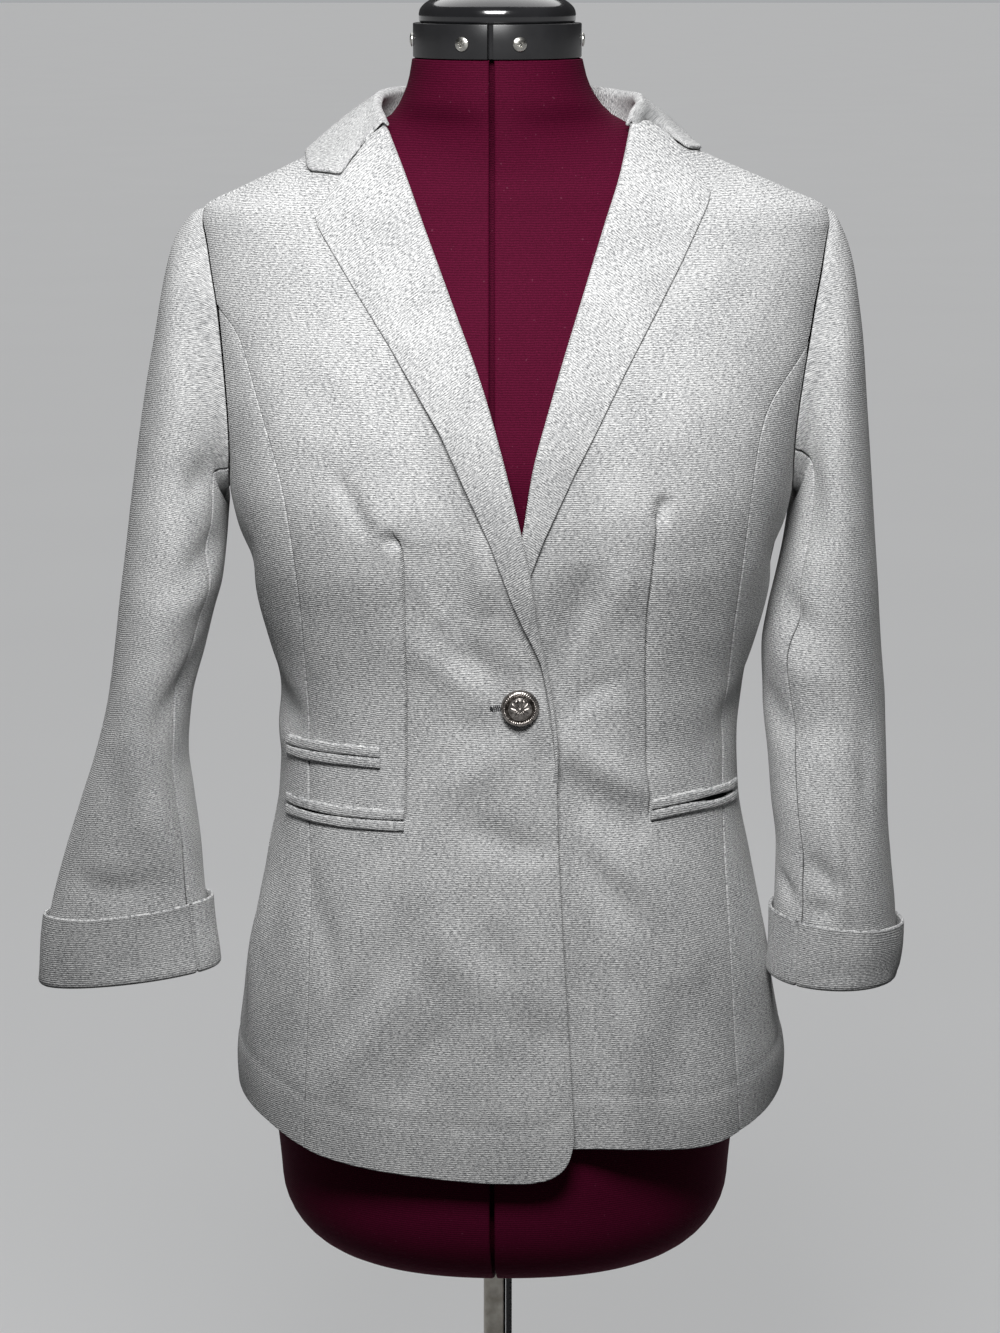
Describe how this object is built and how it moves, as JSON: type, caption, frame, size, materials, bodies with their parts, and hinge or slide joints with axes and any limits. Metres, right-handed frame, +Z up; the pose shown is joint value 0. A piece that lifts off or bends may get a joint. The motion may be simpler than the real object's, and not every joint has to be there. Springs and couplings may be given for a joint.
{
  "type": "single breasted blazer on dress form",
  "caption": "Light grey knit blazer, notch lapels, turned-back cuffs, welt pockets, buttoned on a maroon limbless dress form with pole stand.",
  "frame": {"origin": "centre of the round base's underside, on the floor, on the pole's axis", "axes": "+Z up along the pole, the jacket's front faces -Y, +X is the viewer's right, the wearer's left"},
  "size_m": [0.5678, 0.36, 1.435],
  "materials": {
    "grey_knit": "heather grey double knit with fine horizontal ribs, matte",
    "gunmetal": "dark gunmetal, domed with a rope rim, half gloss",
    "maroon_jersey": "fine ribbed maroon jersey, matte with a slight nap",
    "satin_black": "satin black moulded plastic",
    "gloss_black": "gloss black moulded plastic",
    "screw_steel": "bright steel",
    "pole_metal": "olive brown grey coated tube, satin",
    "rack_black": "black toothed strip, matte",
    "base_metal": "black powder coat, satin"
  },
  "bodies": {
    "root": {"front_right": "grey_knit", "front_left": "grey_knit", "side_front_right": "grey_knit", "side_front_left": "grey_knit", "side_back_right": "grey_knit", "side_back_left": "grey_knit", "back_right": "grey_knit", "back_left": "grey_knit", "upper_sleeve_right": "grey_knit", "upper_sleeve_left": "grey_knit", "under_sleeve_right": "grey_knit", "under_sleeve_left": "grey_knit", "cuff_right": "grey_knit", "cuff_left": "grey_knit", "lapel_right": "grey_knit", "lapel_left": "grey_knit", "collar": "grey_knit", "ticket_upper_welt": "grey_knit", "ticket_lower_welt": "grey_knit", "pocket_right_upper_welt": "grey_knit", "pocket_right_lower_welt": "grey_knit", "pocket_left_upper_welt": "grey_knit", "pocket_left_lower_welt": "grey_knit", "button": "gunmetal", "form_torso": "maroon_jersey", "neck_band_right": "satin_black", "neck_band_left": "satin_black", "neck_cap": "gloss_black", "neck_dial": "gloss_black", "screw_front_right": "screw_steel", "screw_front_left": "screw_steel", "screw_side_right": "screw_steel", "screw_side_left": "screw_steel", "pole": "pole_metal", "rack": "rack_black", "base": "base_metal"}
  },
  "joints": []
}
